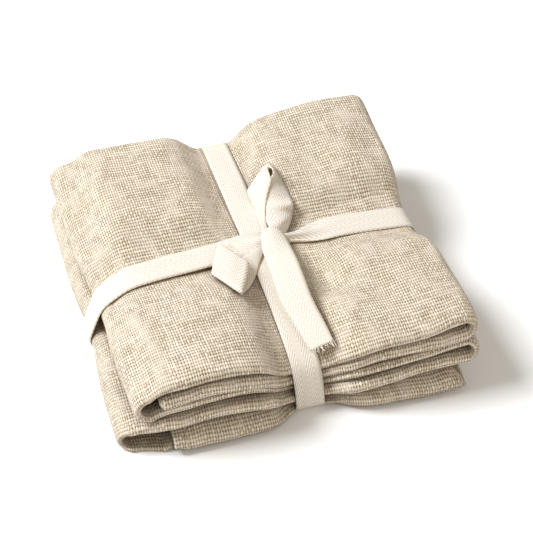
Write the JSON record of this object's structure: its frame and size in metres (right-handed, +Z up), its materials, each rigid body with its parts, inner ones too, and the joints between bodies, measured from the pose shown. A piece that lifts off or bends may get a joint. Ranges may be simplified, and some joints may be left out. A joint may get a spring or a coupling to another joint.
{
  "type": "folded dish towel tied with cotton tape",
  "caption": "Coarse linen dish towel folded back and forth into a soft square bundle and tied crosswise with flat cotton tape, with an upright bow loop and loose tape ends.",
  "frame": {"origin": "middle of the bundle's box, on the surface that it rests on", "axes": "+X along the front edge to the right, +Y to the back, +Z up"},
  "size_m": [0.1642, 0.1666, 0.0521],
  "materials": {
    "linen": "unbleached coarse linen in plain weave, dry and matte",
    "cotton_tape": "off-white cotton tape in herringbone weave, soft and matte, bare of print"
  },
  "bodies": {
    "root": {"towel": "linen", "tape": "cotton_tape"}
  },
  "joints": []
}
